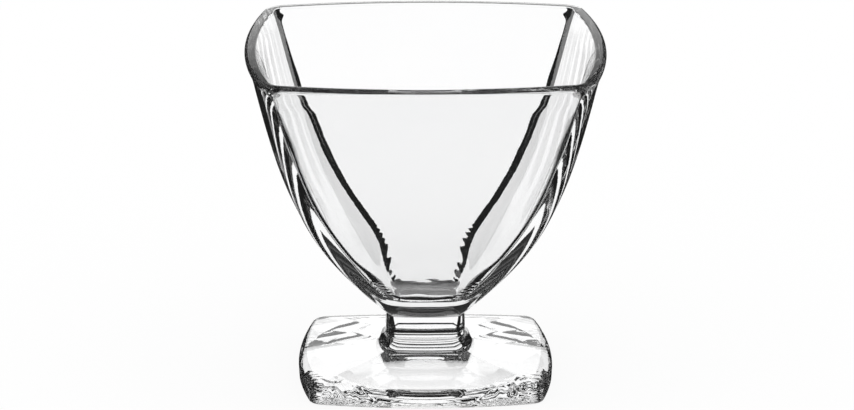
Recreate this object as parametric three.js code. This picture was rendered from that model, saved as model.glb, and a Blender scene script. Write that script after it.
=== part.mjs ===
// Square ice cream coupe in clear pressed glass: a bowl, a short stem and a foot.
// Millimetres, +Z up. The origin is the centre of the face that the foot stands on.
// The three pieces meet face to face at two flat welds.

import * as THREE from 'three';

// Overall height, and lengths that stack up inside it
const coupeHeight = 90;
const stemLength = 6.1;
const bowlFloorThickness = 7.1;   // glass between the stem and the hollow of the bowl
const collarStub = 0.5;           // straight end of the foot's collar, above its fillet

// Lip of the bowl: the wall flares, turns in a crease and ends in a rounded bead with a flat top
const lipWidth = 95.5;            // across the middles of two opposite sides
const lipSideRadius = 175;        // plan radius of the bulging sides
const lipCornerRadius = 6.6;
const lipThickness = 3.05;
const lipInnerRounding = 0.45;
const beadRadius = 0.8;
const beadAngle = 54;             // how far below the level the bead goes before the crease
const creaseRadius = 0.3;
const flareRadius = 49;           // of the upward curve that leads out to the crease
const flareAngle = 20;            // of the wall from the vertical where the crease begins

// Curves of the bowl's wall: the angle from the vertical at each end and the reach of that end
const wallTopAngle = 13.4;
const wallTopReach = 31.5;
const wallFootAngle = 44.8;
const wallFootReach = 33.8;
const hollowTopAngle = 17.8;
const hollowTopReach = 36.1;
const hollowFootAngle = 40.1;
const hollowFootReach = 31.7;

// Plan of the hollow at the mouth, and the floor of the hollow
const mouthSideRadius = 178;
const mouthCornerRadius = 3.5;
const floorWidth = 11.7;          // flat part, across
const floorFillet = 6.6;
const floorSideRadius = 40;
const floorCornerRadius = 1.8;

// Stem
const stemWidth = 21.4;
const stemSideRadius = 40;
const stemCornerRadius = 2.4;

// Foot
const footWidth = 68.2;
const footSideRadius = 130;
const footCornerRadius = 4.2;
const footEdgeHeight = 4.5;       // of the four slopes where they reach the middles of the sides
const footSlopeAngle = 9.6;
const collarFillet = 3;
const footTopRounding = 1.2;
const footBottomRounding = 0.5;
const dishDepth = 3.2;            // round hollow under the foot
const dishMargin = 0.8;           // flat face outside the dish at the middles of the sides

// Fineness of the facets
const sideSteps = 10;
const cornerSteps = 6;
const wallSteps = 14;
const roundSteps = 4;
const slopeSteps = 4;

const lerp = THREE.MathUtils.lerp;
const radians = THREE.MathUtils.degToRad;
const quarterTurn = Math.PI / 2;

// A plan section: a square whose sides are arcs that bulge outwards, with rounded corners.
const section = (halfWidth, sideRadius, cornerRadius) => ({ halfWidth, sideRadius, cornerRadius });

const lipSection = section(lipWidth / 2, lipSideRadius, lipCornerRadius);
const mouthSection = section(lipWidth / 2 - lipThickness, mouthSideRadius, mouthCornerRadius);
const floorSection = section(floorWidth / 2, floorSideRadius, floorCornerRadius);
const stemSection = section(stemWidth / 2, stemSideRadius, stemCornerRadius);
const footSection = section(footWidth / 2, footSideRadius, footCornerRadius);

// The same section moved inwards by a distance, so that the band between the two is even.
function inset(outer, distance) {
  return section(
    outer.halfWidth - distance,
    outer.sideRadius - distance,
    outer.cornerRadius - distance,
  );
}

// The section of a given half width on the way from one section to another.
function sectionBetween(from, to, halfWidth) {
  const share = (halfWidth - from.halfWidth) / (to.halfWidth - from.halfWidth);
  return section(
    halfWidth,
    lerp(from.sideRadius, to.sideRadius, share),
    lerp(from.cornerRadius, to.cornerRadius, share),
  );
}

// Points along a section, anticlockwise. Every section has the same number of points, so any two
// can be joined by a loft, and each corner has a point on the diagonal.
function sectionPoints({ halfWidth, sideRadius, cornerRadius }) {
  const sideCentre = sideRadius - halfWidth;
  const span = sideRadius - cornerRadius;
  const cornerCentre = (Math.sqrt(2 * span * span - sideCentre * sideCentre) - sideCentre) / 2;
  const tangentAngle = Math.atan2(cornerCentre, cornerCentre + sideCentre);
  const front = [];
  for (let i = 0; i < sideSteps; i += 1) {
    const angle = lerp(-tangentAngle, tangentAngle, i / sideSteps);
    front.push(new THREE.Vector2(
      sideRadius * Math.sin(angle),
      sideCentre - sideRadius * Math.cos(angle),
    ));
  }
  for (let i = 0; i < cornerSteps; i += 1) {
    const angle = lerp(tangentAngle, quarterTurn - tangentAngle, i / cornerSteps);
    front.push(new THREE.Vector2(
      cornerCentre + cornerRadius * Math.sin(angle),
      -cornerCentre - cornerRadius * Math.cos(angle),
    ));
  }
  const axis = new THREE.Vector2();
  return [0, 1, 2, 3].flatMap(
    (side) => front.map((p) => p.clone().rotateAround(axis, side * quarterTurn)),
  );
}

// A ring of a loft: a section at one height, or at a height worked out for each of its points.
function ring(plan, height) {
  const heightAt = typeof height === 'function' ? height : () => height;
  return sectionPoints(plan).map((p, i) => new THREE.Vector3(p.x, p.y, heightAt(p, i)));
}

// A closed solid through a chain of rings that climbs the outside and goes down any inside.
// The first ring is closed by a face that looks down and the last by one that looks up.
function loft(rings) {
  const count = rings[0].length;
  const points = rings.flat();
  const indices = [];
  for (let level = 0; level + 1 < rings.length; level += 1) {
    for (let i = 0; i < count; i += 1) {
      const a = level * count + i;
      const b = level * count + ((i + 1) % count);
      indices.push(a, b, b + count, a, b + count, a + count);
    }
  }
  const addFace = (level, looksUp) => {
    const middle = new THREE.Vector3();
    rings.at(level).forEach((p) => middle.addScaledVector(p, 1 / count));
    const first = points.indexOf(rings.at(level)[0]);
    for (let i = 0; i < count; i += 1) {
      const a = first + i;
      const b = first + ((i + 1) % count);
      indices.push(points.length, looksUp ? a : b, looksUp ? b : a);
    }
    points.push(middle);
  };
  addFace(0, false);
  addFace(-1, true);
  const geometry = new THREE.BufferGeometry().setFromPoints(points);
  geometry.setIndex(indices);
  geometry.computeVertexNormals();
  return geometry;
}

// Steps along a quarter round or part of one, as angles from start to end.
function sweep(start, end) {
  return Array.from({ length: roundSteps + 1 }, (_, i) => lerp(start, end, i / roundSteps));
}

// Profile of a wall in half width and height, from its top to its foot.
function wallProfile(top, topAngle, topReach, foot, footAngle, footReach) {
  const down = new THREE.Vector2(-Math.sin(radians(topAngle)), -Math.cos(radians(topAngle)));
  const up = new THREE.Vector2(Math.sin(radians(footAngle)), Math.cos(radians(footAngle)));
  return new THREE.CubicBezierCurve(
    top,
    top.clone().addScaledVector(down, topReach),
    foot.clone().addScaledVector(up, footReach),
    foot,
  ).getPoints(wallSteps);
}

// Top of the foot: four plane slopes that meet in ridges on the diagonals.
const slope = radians(footSlopeAngle);

function hippedTop(p) {
  const reach = Math.max(Math.abs(p.x), Math.abs(p.y));
  return footEdgeHeight + Math.tan(slope) * (footSection.halfWidth - reach);
}

const footPlan = (halfWidth) => sectionBetween(stemSection, footSection, halfWidth);

// Underside of the foot: a round dish, then the flat face that the coupe stands on, which is wide
// at the corners and narrow at the middles of the sides, and then its rounded outer edge.
function footUnderside() {
  const bearingHalf = footSection.halfWidth - footBottomRounding;
  const dishRadius = bearingHalf - dishMargin;
  const bearingEdge = ring(footPlan(bearingHalf), 0);
  const rings = [];
  for (let i = 1; i <= slopeSteps; i += 1) {
    const share = i / slopeSteps;
    const height = dishDepth * (1 - share * share);
    rings.push(bearingEdge.map((p) => p.clone().setLength(dishRadius * share).setZ(height)));
  }
  sweep(0, quarterTurn).forEach((angle) => rings.push(ring(
    footPlan(bearingHalf + footBottomRounding * Math.sin(angle)),
    footBottomRounding * (1 - Math.cos(angle)),
  )));
  return rings;
}

// Rounded top edge of the foot, from the upright side over to the slopes.
function footEdge() {
  const slopesBegin = footSection.halfWidth - footTopRounding * (1 - Math.sin(slope));
  const edge = ring(footPlan(slopesBegin), hippedTop);
  return sweep(0, quarterTurn - slope).map((angle) => ring(
    footPlan(footSection.halfWidth - footTopRounding * (1 - Math.cos(angle))),
    (p, i) => edge[i].z - footTopRounding * (Math.cos(slope) - Math.sin(angle)),
  ));
}

// Slopes of the foot, from inside the rounded edge in to where the collar's fillet begins.
function footSlopes() {
  const from = footSection.halfWidth - footTopRounding * (1 - Math.sin(slope));
  const to = stemSection.halfWidth + collarFillet * (1 - Math.sin(slope));
  return Array.from({ length: slopeSteps }, (_, i) => ring(
    footPlan(lerp(from, to, (i + 1) / slopeSteps)),
    hippedTop,
  ));
}

// Fillet that carries the slopes up into the collar's upright sides.
function collarFilletRings(lowest) {
  return sweep(slope, quarterTurn).slice(1).map((angle) => ring(
    footPlan(stemSection.halfWidth + collarFillet * (1 - Math.sin(angle))),
    (p, i) => lowest[i].z + collarFillet * (Math.cos(slope) - Math.cos(angle)),
  ));
}

const slopes = footSlopes();
const fillet = collarFilletRings(slopes.at(-1));
const collarTop = Math.max(...fillet.at(-1).map((p) => p.z)) + collarStub;
const stemTop = collarTop + stemLength;
const hollowFloor = stemTop + bowlFloorThickness;

function footGeometry() {
  return loft([...footUnderside(), ...footEdge(), ...slopes, ...fillet, ring(stemSection, collarTop)]);
}

function stemGeometry() {
  return loft([ring(stemSection, collarTop), ring(stemSection, stemTop)]);
}

// Part of a profile that bends outwards as it climbs from a point, between two angles from the vertical.
function outwardBend(from, radius, startAngle, endAngle) {
  return sweep(startAngle, endAngle).map((angle) => new THREE.Vector2(
    from.x + radius * (Math.cos(startAngle) - Math.cos(angle)),
    from.y + radius * (Math.sin(angle) - Math.sin(startAngle)),
  ));
}

// Outside of the bowl, from its weld up the wall, out along the flare and round the crease to the bead.
function bowlOutside() {
  const wallTop = radians(wallTopAngle);
  const flareEnd = radians(flareAngle);
  const bead = radians(beadAngle);
  const origin = new THREE.Vector2();
  const flareSpan = outwardBend(origin, flareRadius, wallTop, flareEnd).at(-1);
  const creaseSpan = outwardBend(origin, creaseRadius, flareEnd, bead).at(-1);
  const top = new THREE.Vector2(
    lipSection.halfWidth - beadRadius * (1 - Math.cos(bead)),
    coupeHeight - beadRadius * (1 + Math.sin(bead)),
  ).sub(flareSpan).sub(creaseSpan);
  const foot = new THREE.Vector2(stemSection.halfWidth, stemTop);
  const wall = wallProfile(top, wallTopAngle, wallTopReach, foot, wallFootAngle, wallFootReach);
  const flare = outwardBend(top, flareRadius, wallTop, flareEnd);
  const crease = outwardBend(flare.at(-1), creaseRadius, flareEnd, bead);
  const profile = [...wall.reverse(), ...flare.slice(1), ...crease.slice(1)];
  return profile.map((p) => ring(sectionBetween(stemSection, lipSection, p.x), p.y));
}

// The lip, from the bead's underside over the flat top to the rounded inner edge.
function lip() {
  const bead = radians(beadAngle);
  const tilt = radians(hollowTopAngle);
  const outer = [...sweep(-bead, 0).slice(1), ...sweep(0, quarterTurn).slice(1)].map((angle) => ring(
    inset(lipSection, beadRadius * (1 - Math.cos(angle))),
    coupeHeight - beadRadius * (1 - Math.sin(angle)),
  ));
  const inner = sweep(0, quarterTurn - tilt).slice(0, -1).map((angle) => ring(
    inset(mouthSection, lipInnerRounding * (Math.sin(angle) - Math.cos(tilt))),
    coupeHeight - lipInnerRounding * (1 - Math.cos(angle)),
  ));
  return [...outer, ...inner];
}

// Inside of the bowl, from the lip's inner edge down the wall and round the fillet to the flat floor.
function bowlInside() {
  const mouthDepth = lipInnerRounding * (1 - Math.sin(radians(hollowTopAngle)));
  const top = new THREE.Vector2(mouthSection.halfWidth, coupeHeight - mouthDepth);
  const filletPoint = (angle) => new THREE.Vector2(
    floorSection.halfWidth + floorFillet * Math.sin(angle),
    hollowFloor + floorFillet * (1 - Math.cos(angle)),
  );
  const turn = quarterTurn - radians(hollowFootAngle);
  const foot = filletPoint(turn);
  const wall = wallProfile(top, hollowTopAngle, hollowTopReach, foot, hollowFootAngle, hollowFootReach);
  const profile = [...wall, ...sweep(turn, 0).slice(1).map(filletPoint)];
  return profile.map((p) => ring(sectionBetween(floorSection, mouthSection, p.x), p.y));
}

function bowlGeometry() {
  return loft([...bowlOutside(), ...lip(), ...bowlInside()]);
}

function glassMesh(name, geometry) {
  const material = new THREE.MeshStandardMaterial({
    color: 0xf2f6f5,
    roughness: 0.03,
    metalness: 0,
    transparent: true,
    opacity: 0.35,
  });
  const mesh = new THREE.Mesh(geometry, material);
  mesh.name = name;
  return mesh;
}

const coupe = new THREE.Group();
coupe.add(
  glassMesh('bowl', bowlGeometry()),
  glassMesh('stem', stemGeometry()),
  glassMesh('foot', footGeometry()),
);

export default coupe;
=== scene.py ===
"""Looks of the square footed ice cream coupe: three fused pieces of clear pressed glass on a pale floor."""
import math
from collections import namedtuple

import bpy
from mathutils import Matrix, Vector, noise


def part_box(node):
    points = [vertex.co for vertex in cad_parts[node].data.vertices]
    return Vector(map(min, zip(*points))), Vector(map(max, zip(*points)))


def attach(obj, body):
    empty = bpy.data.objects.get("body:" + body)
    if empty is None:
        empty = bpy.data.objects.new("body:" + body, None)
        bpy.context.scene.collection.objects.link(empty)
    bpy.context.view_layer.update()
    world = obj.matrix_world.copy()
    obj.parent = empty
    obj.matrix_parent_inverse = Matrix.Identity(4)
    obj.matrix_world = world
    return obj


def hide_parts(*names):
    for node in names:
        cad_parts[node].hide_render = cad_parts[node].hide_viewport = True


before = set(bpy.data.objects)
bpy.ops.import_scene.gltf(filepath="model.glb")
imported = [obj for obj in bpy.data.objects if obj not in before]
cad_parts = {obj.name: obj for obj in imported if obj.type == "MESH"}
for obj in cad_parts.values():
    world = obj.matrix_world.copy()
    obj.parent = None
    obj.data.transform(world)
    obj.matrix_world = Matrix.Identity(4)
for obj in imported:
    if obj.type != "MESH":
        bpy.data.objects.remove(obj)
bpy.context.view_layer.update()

# Sizes are in millimetres and angles in degrees
MM = 0.001

# A plan outline is a square with bulged sides and rounded corners
Plan = namedtuple("Plan", "half side corner")

# Outer plans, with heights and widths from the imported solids
stem_low, stem_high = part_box("stem")
bowl_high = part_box("bowl")[1]
foot_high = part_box("foot")[1]
RIM_HEIGHT = bowl_high.z / MM
STEM_TOP = stem_high.z / MM
STEM_FOOT = stem_low.z / MM
LIP = Plan(bowl_high.x / MM, 175.0, 6.6)
STEM = Plan(stem_high.x / MM, 40.0, 2.4)
FOOT = Plan(foot_high.x / MM, 130.0, 4.2)

# Lip: the wall flares into a small bead with a flat top
LIP_THICKNESS = 3.05
BEAD_RADIUS = 0.8
BEAD_ANGLE = 54.0
CREASE_RADIUS = 0.3
FLARE_RADIUS = 49.0
FLARE_ANGLE = 20.0
INNER_ROUNDING = 0.45

# Outer wall: a curve from the flare to the weld
WALL_TOP_ANGLE = 13.4
WALL_TOP_REACH = 31.5
WALL_FOOT_ANGLE = 44.8
WALL_FOOT_REACH = 33.8

# Hollow: a curve from the mouth's flare to the floor's fillet, with its corner radius at several heights
MOUTH = Plan(LIP.half - LIP_THICKNESS, 166.5, 3.5)
MOUTH_ANGLE = 22.0
HOLLOW_FLARE = 60.0
HOLLOW_TOP_ANGLE = 17.3
HOLLOW_TOP_REACH = 33.0
HOLLOW_FOOT_ANGLE = 39.8
HOLLOW_FOOT_REACH = 29.9
BOTTOM_THICKNESS = 7.1
FLOOR = Plan(5.87, 40.0, 1.8)
FLOOR_FILLET = 7.6
FLOOR_HEIGHT = STEM_TOP + BOTTOM_THICKNESS
HOLLOW_CORNERS = (
    (22.8, FLOOR.corner), (26.0, 4.5), (33.0, 4.5), (40.0, 1.9), (66.0, 1.7), (72.0, 2.4),
    (80.0, 1.5), (84.0, 0.7), (86.0, 0.7), (88.4, 4.4), (89.6, MOUTH.corner),
)

# Stem: its corners are rounder at the base and sharpen over a part of its height
STEM_BASE = STEM._replace(corner=3.8)
STEM_TAPER = (0.4, 1.0)

# Foot: hipped top, rounded edges, and a round dish inside the bearing face
FOOT_EDGE_HEIGHT = 4.5
FOOT_SLOPE = 9.6
FOOT_TOP_ROUNDING = 2.6
FOOT_BOTTOM_ROUNDING = 0.9
COLLAR_FILLET = 3.0
RIDGE_ROUNDING = 1.0
BEARING_HALF = FOOT.half - FOOT_BOTTOM_ROUNDING
DISH_DEPTH = 3.2
DISH_MARGIN = 0.8
DISH_RADIUS = BEARING_HALF - DISH_MARGIN

# Chill ripples low in the hollow's corners, which fade out towards its sides and at both ends
RIPPLE_PITCH = 1.1
RIPPLE_DEPTH = 0.2
RIPPLE_LOW = 24.8
RIPPLE_RISE = 1.0
RIPPLE_HIGH = 33.5
RIPPLE_FADE = 3.0
RIPPLE_CORNER = (0.3, 0.9)
RIPPLE_DRIFT = 0.6
RIPPLE_PATCH = 8.0

# Wrinkles in the bearing face, which start away from its edge and are deepest at the front
WRINKLE_DEPTH = 0.14
WRINKLE_LENGTH = 1.5
WRINKLE_MARGIN = 3.0
WRINKLE_EDGE = (0.8, 2.2)
WRINKLE_FRONT = (10.0, 24.0)
WRINKLE_REAR = 0.12

# Waves round the hollow's floor, given by the heights above it where they rise and fade
FLOOR_WAVE_DEPTH = 0.15
FLOOR_WAVE_LENGTH = 5.0
FLOOR_WAVE_RISE = (0.0, 0.3)
FLOOR_WAVE_FADE = (1.5, 4.0)

# Glass: waves of its surface as length, detail and depth, then haze and tint
GLASS_IOR = 1.52
GLASS_WAVES = ((9.0, 1.0, 0.02), (1.3, 2.0, 0.0025))
HAZE = 0.025
HAZE_LENGTH = 6.0
HAZE_DETAIL = 2.0
TINT_LENGTH = 20.0
TINT_DETAIL = 1.0
GLASS_PALE = (1.0, 1.0, 1.0, 1.0)
GLASS_DEEP = (0.985, 0.988, 0.992, 1.0)

# Fineness of the meshes
SIDE_STEPS = 48
CORNER_STEPS = 24
FOOT_FINENESS = 4
WALL_STEPS = 64
STEM_STEPS = 20
BEAD_STEPS = 20
FLARE_STEPS = 24
FILLET_STEPS = 60
RIPPLED_STEPS = 260
ROUND_STEPS = 10
DISH_STEPS = 80
BEARING_STEPS = 40
SLOPE_STEPS = 16

# Camera, fitted to the photograph's frame, with its width in pixels
IMAGE_WIDTH = 854
PIXELS_PER_MM = 3.7477
CENTRE_OFFSET = 1.65
CAMERA_DISTANCE = 1307.6
CAMERA_ELEVATION = 16.64
CAMERA_TURN = 0.6
CAMERA_RANGE = 100000.0
AIM_HEIGHT = 45.8
SENSOR_WIDTH = 36.0

# Studio: a dark room for the glass, with a white card behind the coupe for each viewing side
WHITE = (1.0, 1.0, 1.0, 1.0)
DARK_ROOM = (0.012, 0.012, 0.012, 1.0)
LIGHT_BOUNCES = 32
FLOOR_SIZE = 6000.0
FLOOR_DROP = 0.05
FLOOR_GLOW = 0.9
CEILING_LENGTH = 1200.0
CEILING_WIDTH = 260.0
CEILING_HEIGHT = 400.0
CEILING_GLOW = 0.13
CARD_GLOW = 1.08
CARD_FADE_LOW = 128.0
CARD_FADE_HIGH = 152.0
CARD_ARCH = 250.0
CARD_STEPS = 16
Card = namedtuple("Card", "name azimuth distance half_width bottom top")
CARDS = (
    Card("main", 0.0, 180.0, 58.0, -120.0, 158.0),
    Card("quarter", 45.0, 400.0, 75.0, -225.0, -55.0),
    Card("rear", 225.0, 400.0, 75.0, -135.0, 20.0),
    Card("side", 90.0, 400.0, 75.0, -50.0, 100.0),
)


def lerp(start, end, share):
    return start + (end - start) * share


def smooth_step(low, high, value):
    share = min(max((value - low) / (high - low), 0.0), 1.0)
    return share * share * (3.0 - 2.0 * share)


# Plan outlines, rings and profiles

def inset(plan, depth):
    return Plan(*(size - depth for size in plan))


def between(small, large, half):
    share = (half - small.half) / (large.half - small.half)
    return Plan(half, lerp(small.side, large.side, share), lerp(small.corner, large.corner, share))


def outline(plan, fineness):
    """Points of the outline, each with the angle of its outward normal."""
    middle = plan.side - plan.half
    reach = plan.side - plan.corner
    corner = (math.sqrt(2.0 * reach * reach - middle * middle) - middle) / 2.0
    turn = math.atan2(corner, corner + middle)
    arcs = (
        (0.0, middle, plan.side, -turn, turn, SIDE_STEPS * fineness),
        (corner, -corner, plan.corner, turn, math.pi / 2 - turn, CORNER_STEPS * fineness),
    )
    for quarter in range(4):
        spin = quarter * math.pi / 2
        for centre_x, centre_y, radius, start, end, steps in arcs:
            for step in range(steps):
                angle = lerp(start, end, step / steps)
                x = centre_x + radius * math.sin(angle)
                y = centre_y - radius * math.cos(angle)
                yield (
                    x * math.cos(spin) - y * math.sin(spin),
                    x * math.sin(spin) + y * math.cos(spin),
                    angle + spin,
                )


def ring(plan, height, relief=None, fineness=1):
    """One ring of points. The height may be a function of place, and relief moves points outwards."""
    points = []
    for x, y, angle in outline(plan, fineness):
        z = height(x, y) if callable(height) else height
        lift = relief(x, y, z, angle) if relief else 0.0
        points.append((x + lift * math.sin(angle), y - lift * math.cos(angle), z))
    return points


def wall_profile(top, top_angle, top_reach, foot, foot_angle, foot_reach, steps):
    """Cubic curve of (half width, height) from the top of a wall to its foot."""
    top_angle = math.radians(top_angle)
    foot_angle = math.radians(foot_angle)
    points = (
        top,
        (top[0] - top_reach * math.sin(top_angle), top[1] - top_reach * math.cos(top_angle)),
        (foot[0] + foot_reach * math.sin(foot_angle), foot[1] + foot_reach * math.cos(foot_angle)),
        foot,
    )
    profile = []
    for step in range(steps + 1):
        down = step / steps
        up = 1.0 - down
        weights = (up ** 3, 3.0 * up ** 2 * down, 3.0 * up * down * down, down ** 3)
        half = sum(weight * point[0] for weight, point in zip(weights, points))
        height = sum(weight * point[1] for weight, point in zip(weights, points))
        profile.append((half, height))
    return profile


# Chill marks of pressing

def corner_share(angle):
    """1 on a corner's middle and 0 at the middle of a side."""
    return 1.0 - abs(math.degrees(angle) % 90.0 - 45.0) / 45.0


def chill_ripple(x, y, z, angle):
    """Level ripples low in the corners of the hollow, like a worn thread."""
    low = smooth_step(RIPPLE_LOW, RIPPLE_LOW + RIPPLE_RISE, z)
    high = 1.0 - smooth_step(RIPPLE_HIGH - RIPPLE_FADE, RIPPLE_HIGH, z)
    strength = low * high * smooth_step(*RIPPLE_CORNER, corner_share(angle))
    if strength == 0.0:
        return 0.0
    drift = RIPPLE_DRIFT * noise.noise(Vector((x, y, z)) / RIPPLE_PATCH)
    swell = 1.0 + noise.noise(Vector((y, z, x)) / RIPPLE_PATCH)
    return RIPPLE_DEPTH * strength * swell * math.sin(2.0 * math.pi * (z / RIPPLE_PITCH + drift))


def floor_wave(z):
    """The height of a ring of the hollow as a function of place, wavy close to the floor."""
    above = z - FLOOR_HEIGHT
    weight = smooth_step(*FLOOR_WAVE_RISE, above) * (1.0 - smooth_step(*FLOOR_WAVE_FADE, above))
    depth = FLOOR_WAVE_DEPTH * weight
    return lambda x, y: z + depth * noise.noise(Vector((x, y, 0.0)) / FLOOR_WAVE_LENGTH)


def underside_height(x, y, edge_gap):
    """Height of the foot's underside: the round dish, and the wrinkles outside it."""
    radius = math.hypot(x, y)
    dish = DISH_DEPTH * max(0.0, 1.0 - (radius / DISH_RADIUS) ** 2)
    outside = smooth_step(DISH_RADIUS - WRINKLE_MARGIN, DISH_RADIUS, radius)
    strength = outside * smooth_step(*WRINKLE_EDGE, edge_gap)
    if strength == 0.0:
        return dish
    strength *= lerp(WRINKLE_REAR, 1.0, smooth_step(*WRINKLE_FRONT, -y))
    place = Vector((x, y, 0.0)) / WRINKLE_LENGTH
    return dish + WRINKLE_DEPTH * strength * (1.0 + noise.noise(place))


# Foot

def foot_ring(half, height):
    return ring(between(STEM_BASE, FOOT, half), height, fineness=FOOT_FINENESS)


def raised_ring(half, start, rise):
    """A ring of the foot whose points stand a set height above those of another ring."""
    return [(x, y, z + rise) for (x, y, _), (_, _, z) in zip(foot_ring(half, 0.0), start)]


def hipped_top(x, y):
    """Height of the four slopes, whose ridges on the diagonals are a little rounded."""
    apart = abs(x) - abs(y)
    reach = (abs(x) + abs(y) + math.hypot(apart, RIDGE_ROUNDING)) / 2.0
    return FOOT_EDGE_HEIGHT + math.tan(math.radians(FOOT_SLOPE)) * (FOOT.half - reach)


def underside_rings():
    """Circles of the dish, and then rings that spread to the edge of the bearing face."""
    edge = foot_ring(BEARING_HALF, 0.0)
    rings = []
    for step in range(1, DISH_STEPS + BEARING_STEPS + 1):
        points = []
        for x, y, _ in edge:
            reach = math.hypot(x, y)
            if step <= DISH_STEPS:
                radius = DISH_RADIUS * step / DISH_STEPS
            else:
                radius = lerp(DISH_RADIUS, reach, (step - DISH_STEPS) / BEARING_STEPS)
            place = (x * radius / reach, y * radius / reach)
            points.append((*place, underside_height(*place, reach - radius)))
        rings.append(points)
    return rings


def foot_edge_rings(slope, slope_outer):
    """Rounded bottom edge, upright side and rounded top edge."""
    rings = []
    for step in range(ROUND_STEPS + 1):
        angle = step / ROUND_STEPS * math.pi / 2
        half = BEARING_HALF + FOOT_BOTTOM_ROUNDING * math.sin(angle)
        rings.append(foot_ring(half, FOOT_BOTTOM_ROUNDING * (1.0 - math.cos(angle))))
    slope_edge = foot_ring(slope_outer, hipped_top)
    for step in range(ROUND_STEPS + 1):
        angle = step / ROUND_STEPS * (math.pi / 2 - slope)
        half = FOOT.half - FOOT_TOP_ROUNDING * (1.0 - math.cos(angle))
        drop = FOOT_TOP_ROUNDING * (math.cos(slope) - math.sin(angle))
        rings.append(raised_ring(half, slope_edge, -drop))
    return rings


def foot_top_rings(slope, slope_outer):
    """The four slopes, and the collar's fillet up to the weld."""
    slope_inner = STEM.half + COLLAR_FILLET * (1.0 - math.sin(slope))
    rings = []
    for step in range(1, SLOPE_STEPS + 1):
        rings.append(foot_ring(lerp(slope_outer, slope_inner, step / SLOPE_STEPS), hipped_top))
    collar = rings[-1]
    for step in range(1, ROUND_STEPS + 1):
        angle = lerp(slope, math.pi / 2, step / ROUND_STEPS)
        half = STEM.half + COLLAR_FILLET * (1.0 - math.sin(angle))
        rings.append(raised_ring(half, collar, COLLAR_FILLET * (math.cos(slope) - math.cos(angle))))
    rings.append(foot_ring(STEM.half, STEM_FOOT))
    return rings


def foot_rings():
    slope = math.radians(FOOT_SLOPE)
    slope_outer = FOOT.half - FOOT_TOP_ROUNDING * (1.0 - math.sin(slope))
    return underside_rings() + foot_edge_rings(slope, slope_outer) + foot_top_rings(slope, slope_outer)


# Stem

def stem_rings():
    rings = []
    for step in range(STEM_STEPS + 1):
        share = step / STEM_STEPS
        corner = lerp(STEM_BASE.corner, STEM.corner, smooth_step(*STEM_TAPER, share))
        rings.append(ring(STEM._replace(corner=corner), lerp(STEM_FOOT, STEM_TOP, share)))
    return rings


# Bowl

def outer_profile():
    """(Half width, height) from the weld up through the wall, the flare and the crease to the bead."""
    bead = math.radians(BEAD_ANGLE)
    wall = math.radians(WALL_TOP_ANGLE)
    flare = math.radians(FLARE_ANGLE)
    arcs = ((FLARE_RADIUS, wall, flare), (CREASE_RADIUS, flare, bead))
    half = LIP.half - BEAD_RADIUS * (1.0 - math.cos(bead))
    z = RIM_HEIGHT - BEAD_RADIUS * (1.0 + math.sin(bead))
    for radius, start, end in arcs:
        half -= radius * (math.cos(start) - math.cos(end))
        z -= radius * (math.sin(end) - math.sin(start))
    profile = wall_profile(
        (half, z), WALL_TOP_ANGLE, WALL_TOP_REACH,
        (STEM.half, STEM_TOP), WALL_FOOT_ANGLE, WALL_FOOT_REACH, WALL_STEPS,
    )
    profile.reverse()
    for radius, start, end in arcs:
        foot_half, foot_z = profile[-1]
        for step in range(1, ROUND_STEPS + 1):
            angle = lerp(start, end, step / ROUND_STEPS)
            profile.append((
                foot_half + radius * (math.cos(start) - math.cos(angle)),
                foot_z + radius * (math.sin(angle) - math.sin(start)),
            ))
    return profile


def outer_wall_rings():
    """Outer wall, and the bead that ends it."""
    bead = math.radians(BEAD_ANGLE)
    rings = [ring(between(STEM, LIP, half), z) for half, z in outer_profile()]
    for step in range(1, BEAD_STEPS + 1):
        angle = lerp(-bead, math.pi / 2, step / BEAD_STEPS)
        plan = inset(LIP, BEAD_RADIUS * (1.0 - math.cos(angle)))
        rings.append(ring(plan, RIM_HEIGHT - BEAD_RADIUS * (1.0 - math.sin(angle))))
    return rings


def hollow_profile():
    """(Half width, height) from the mouth down through its flare, the wall and the fillet to the floor."""
    tilt = math.radians(MOUTH_ANGLE)
    mouth_z = RIM_HEIGHT - INNER_ROUNDING * (1.0 - math.sin(tilt))
    flare = []
    for step in range(FLARE_STEPS + 1):
        angle = lerp(tilt, math.radians(HOLLOW_TOP_ANGLE), step / FLARE_STEPS)
        flare.append((
            MOUTH.half - HOLLOW_FLARE * (math.cos(angle) - math.cos(tilt)),
            mouth_z - HOLLOW_FLARE * (math.sin(tilt) - math.sin(angle)),
        ))
    sweep = math.pi / 2 - math.radians(HOLLOW_FOOT_ANGLE)
    fillet = []
    for step in range(FILLET_STEPS + 1):
        angle = sweep * (1.0 - step / FILLET_STEPS)
        fillet.append((
            FLOOR.half + FLOOR_FILLET * math.sin(angle),
            FLOOR_HEIGHT + FLOOR_FILLET * (1.0 - math.cos(angle)),
        ))
    wall = wall_profile(
        flare[-1], HOLLOW_TOP_ANGLE, HOLLOW_TOP_REACH,
        fillet[0], HOLLOW_FOOT_ANGLE, HOLLOW_FOOT_REACH, RIPPLED_STEPS,
    )
    return flare[:-1] + wall + fillet[1:]


def hollow_plan(half, z):
    """Section of the hollow, whose corners are rounder near its floor and sharper under the mouth."""
    radius = FLOOR.corner
    for (low, before), (high, after) in zip(HOLLOW_CORNERS, HOLLOW_CORNERS[1:]):
        radius += (after - before) * smooth_step(low, high, z)
    return between(FLOOR, MOUTH, half)._replace(corner=radius)


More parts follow.
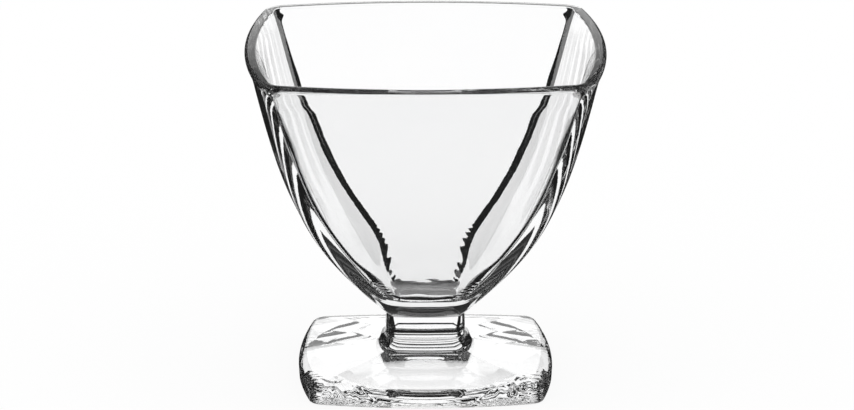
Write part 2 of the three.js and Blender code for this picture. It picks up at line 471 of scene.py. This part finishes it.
def hollow_rings():
    """Inner rounding of the rim, and the hollow down to its floor."""
    tilt = math.radians(MOUTH_ANGLE)
    rings = []
    for step in range(ROUND_STEPS):
        angle = step / ROUND_STEPS * (math.pi / 2 - tilt)
        plan = inset(MOUTH, INNER_ROUNDING * (math.sin(angle) - math.cos(tilt)))
        rings.append(ring(plan, RIM_HEIGHT - INNER_ROUNDING * (1.0 - math.cos(angle))))
    for half, z in hollow_profile():
        rings.append(ring(hollow_plan(half, z), floor_wave(z), chill_ripple))
    return rings


# Materials

def blank_material(name):
    """A material with nothing but its output, with its node tree and the socket of its surface."""
    material = bpy.data.materials.new(name)
    material.use_nodes = True
    tree = material.node_tree
    tree.nodes.clear()
    output = tree.nodes.new("ShaderNodeOutputMaterial")
    return material, tree, output.inputs["Surface"]


def grain(tree, length, detail):
    """Noise of a set length in the piece's own space."""
    place = tree.nodes.new("ShaderNodeTexCoord")
    texture = tree.nodes.new("ShaderNodeTexNoise")
    texture.inputs["Scale"].default_value = 1.0 / (length * MM)
    texture.inputs["Detail"].default_value = detail
    tree.links.new(place.outputs["Object"], texture.inputs["Vector"])
    return texture.outputs["Fac"]


def wavy_normal(tree):
    """Normal of a surface with slow waves and fine grain."""
    normal = None
    for length, detail, depth in GLASS_WAVES:
        bump = tree.nodes.new("ShaderNodeBump")
        bump.inputs["Distance"].default_value = depth * MM
        tree.links.new(grain(tree, length, detail), bump.inputs["Height"])
        if normal:
            tree.links.new(normal, bump.inputs["Normal"])
        normal = bump.outputs["Normal"]
    return normal


def pressed_glass(name):
    """Clear glass with the waviness, faint haze and faint tint of a fire-polished pressing."""
    material = bpy.data.materials.new(name)
    material.use_nodes = True
    tree = material.node_tree
    shader = tree.nodes["Principled BSDF"]
    shader.inputs["IOR"].default_value = GLASS_IOR
    shader.inputs["Transmission Weight"].default_value = 1.0
    tree.links.new(wavy_normal(tree), shader.inputs["Normal"])
    haze = tree.nodes.new("ShaderNodeMapRange")
    haze.inputs["To Max"].default_value = HAZE
    tree.links.new(grain(tree, HAZE_LENGTH, HAZE_DETAIL), haze.inputs["Value"])
    tree.links.new(haze.outputs["Result"], shader.inputs["Roughness"])
    tint = tree.nodes.new("ShaderNodeMix")
    tint.data_type = "RGBA"
    tint.inputs["A"].default_value = GLASS_PALE
    tint.inputs["B"].default_value = GLASS_DEEP
    tree.links.new(grain(tree, TINT_LENGTH, TINT_DETAIL), tint.inputs["Factor"])
    tree.links.new(tint.outputs["Result"], shader.inputs["Base Color"])
    return material


def fused_weld():
    """The face where two pieces are fused: nothing shows there in the real glass."""
    material, tree, surface = blank_material("fused_weld")
    clear = tree.nodes.new("ShaderNodeBsdfTransparent")
    tree.links.new(clear.outputs["BSDF"], surface)
    return material


def card_material():
    """White glow that fades out below the top of the main card."""
    material, tree, surface = blank_material("white_card")
    place = tree.nodes.new("ShaderNodeTexCoord")
    split = tree.nodes.new("ShaderNodeSeparateXYZ")
    fade = tree.nodes.new("ShaderNodeMapRange")
    fade.inputs["From Min"].default_value = CARD_FADE_LOW * MM
    fade.inputs["From Max"].default_value = CARD_FADE_HIGH * MM
    fade.inputs["To Min"].default_value = CARD_GLOW
    fade.inputs["To Max"].default_value = 0.0
    glow = tree.nodes.new("ShaderNodeEmission")
    tree.links.new(place.outputs["Object"], split.inputs["Vector"])
    tree.links.new(split.outputs["Z"], fade.inputs["Value"])
    tree.links.new(fade.outputs["Result"], glow.inputs["Strength"])
    tree.links.new(glow.outputs["Emission"], surface)
    return material


def ceiling_material():
    material, tree, surface = blank_material("dim_ceiling")
    glow = tree.nodes.new("ShaderNodeEmission")
    glow.inputs["Strength"].default_value = CEILING_GLOW
    tree.links.new(glow.outputs["Emission"], surface)
    return material


def floor_material():
    """Matte white that mostly glows, so that the floor is white and still takes a faint shadow."""
    material, tree, surface = blank_material("pale_floor")
    matte = tree.nodes.new("ShaderNodeBsdfDiffuse")
    matte.inputs["Color"].default_value = WHITE
    glow = tree.nodes.new("ShaderNodeEmission")
    blend = tree.nodes.new("ShaderNodeMixShader")
    blend.inputs["Fac"].default_value = FLOOR_GLOW
    tree.links.new(matte.outputs["BSDF"], blend.inputs[1])
    tree.links.new(glow.outputs["Emission"], blend.inputs[2])
    tree.links.new(blend.outputs["Shader"], surface)
    return material


# Coupe

def loft(name, rings, glass, weld, open_welds):
    """A closed mesh through the rings, with smooth sides and flat ends. Weld ends are see-through."""
    count = len(rings[0])
    points = [tuple(size * MM for size in point) for section in rings for point in section]
    faces = []
    for row in range(len(rings) - 1):
        low = row * count
        high = low + count
        for step in range(count):
            after = (step + 1) % count
            faces.append((low + step, low + after, high + after, high + step))
    sides = len(faces)
    last = (len(rings) - 1) * count
    faces.append(tuple(range(count - 1, -1, -1)))
    faces.append(tuple(range(last, last + count)))
    mesh = bpy.data.meshes.new(name)
    mesh.from_pydata(points, [], faces)
    mesh.polygons.foreach_set("use_smooth", [True] * sides + [False, False])
    mesh.materials.append(glass)
    mesh.materials.append(weld)
    for end, is_weld in zip((sides, sides + 1), open_welds):
        mesh.polygons[end].material_index = 1 if is_weld else 0
    mesh.update()
    piece = bpy.data.objects.new(name, mesh)
    bpy.context.scene.collection.objects.link(piece)
    return piece


def add_coupe():
    """The three pieces, each with its rings and whether its first and last end are welds."""
    weld = fused_weld()
    pieces = {
        "foot": (foot_rings(), (False, True)),
        "stem": (stem_rings(), (True, True)),
        "bowl": (outer_wall_rings() + hollow_rings(), (True, False)),
    }
    for node, (rings, open_welds) in pieces.items():
        piece = loft(node + "_glass", rings, pressed_glass(node + "_glass"), weld, open_welds)
        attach(piece, "root")
        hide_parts(node)


# Studio

def stage_sheet(name, corners, material):
    """A flat stage object with one face."""
    mesh = bpy.data.meshes.new(name)
    points = [tuple(size * MM for size in corner) for corner in corners]
    mesh.from_pydata(points, [], [range(len(points))])
    mesh.materials.append(material)
    sheet = bpy.data.objects.new(name, mesh)
    bpy.context.scene.collection.objects.link(sheet)
    return sheet


def show_to_glass_only(sheet):
    sheet.visible_camera = False
    sheet.visible_diffuse = False
    sheet.visible_shadow = False


def card_corners(card):
    """Corners of an upright card with an arched top, on the far side of the coupe for its view."""
    turn = math.radians(card.azimuth)
    away = Vector((-math.sin(turn), math.cos(turn)))
    across = Vector((away.y, -away.x))
    shape = [(-card.half_width, card.bottom), (card.half_width, card.bottom)]
    for step in range(CARD_STEPS + 1):
        x = lerp(card.half_width, -card.half_width, step / CARD_STEPS)
        shape.append((x, card.top - x * x / CARD_ARCH))
    corners = []
    for x, z in shape:
        place = away * card.distance + across * x
        corners.append((place.x, place.y, z))
    return corners


def add_cards():
    material = card_material()
    for card in CARDS:
        show_to_glass_only(stage_sheet("card_" + card.name, card_corners(card), material))


def add_ceiling():
    """A dim ceiling above the coupe, for the glass that turns light down from above."""
    x, y, z = CEILING_LENGTH / 2, CEILING_WIDTH / 2, CEILING_HEIGHT
    corners = [(-x, -y, z), (-x, y, z), (x, y, z), (x, -y, z)]
    show_to_glass_only(stage_sheet("ceiling", corners, ceiling_material()))


def add_floor():
    """A floor that the camera sees and the glass doesn't."""
    half, z = FLOOR_SIZE / 2, -FLOOR_DROP
    corners = [(-half, -half, z), (half, -half, z), (half, half, z), (-half, half, z)]
    floor = stage_sheet("floor", corners, floor_material())
    floor.visible_transmission = False
    floor.visible_glossy = False


def add_world():
    """White to the camera and to the floor, and a dark room round the cards to the glass."""
    world = bpy.data.worlds.new("studio")
    bpy.context.scene.world = world
    world.use_nodes = True
    tree = world.node_tree
    background = tree.nodes["Background"]
    path = tree.nodes.new("ShaderNodeLightPath")
    seen = tree.nodes.new("ShaderNodeMath")
    seen.operation = "MAXIMUM"
    tree.links.new(path.outputs["Is Camera Ray"], seen.inputs[0])
    tree.links.new(path.outputs["Is Diffuse Ray"], seen.inputs[1])
    shade = tree.nodes.new("ShaderNodeMix")
    shade.data_type = "RGBA"
    shade.inputs["A"].default_value = DARK_ROOM
    shade.inputs["B"].default_value = WHITE
    tree.links.new(seen.outputs[0], shade.inputs["Factor"])
    tree.links.new(shade.outputs["Result"], background.inputs["Color"])


def add_camera():
    """The photograph's camera, which stands in front of the coupe and a little to the left."""
    camera = bpy.data.cameras.new("camera")
    camera.sensor_width = SENSOR_WIDTH
    camera.lens = PIXELS_PER_MM * CAMERA_DISTANCE * SENSOR_WIDTH / IMAGE_WIDTH
    camera.shift_x = CENTRE_OFFSET / IMAGE_WIDTH
    camera.clip_end = CAMERA_RANGE * MM
    elevation = math.radians(CAMERA_ELEVATION)
    turn = math.radians(CAMERA_TURN)
    reach = CAMERA_DISTANCE * math.cos(elevation)
    height = CAMERA_DISTANCE * math.sin(elevation)
    aim = Vector((0.0, 0.0, AIM_HEIGHT))
    offset = Vector((-reach * math.sin(turn), -reach * math.cos(turn), height))
    holder = bpy.data.objects.new("camera", camera)
    holder.location = (aim + offset) * MM
    holder.rotation_euler = (-offset).to_track_quat("-Z", "Y").to_euler()
    bpy.context.scene.collection.objects.link(holder)
    bpy.context.scene.camera = holder


add_coupe()
add_floor()
add_cards()
add_ceiling()
add_world()
add_camera()

scene = bpy.context.scene
scene.view_settings.view_transform = "Standard"
scene.cycles.max_bounces = LIGHT_BOUNCES
scene.cycles.transmission_bounces = LIGHT_BOUNCES
scene.cycles.glossy_bounces = LIGHT_BOUNCES
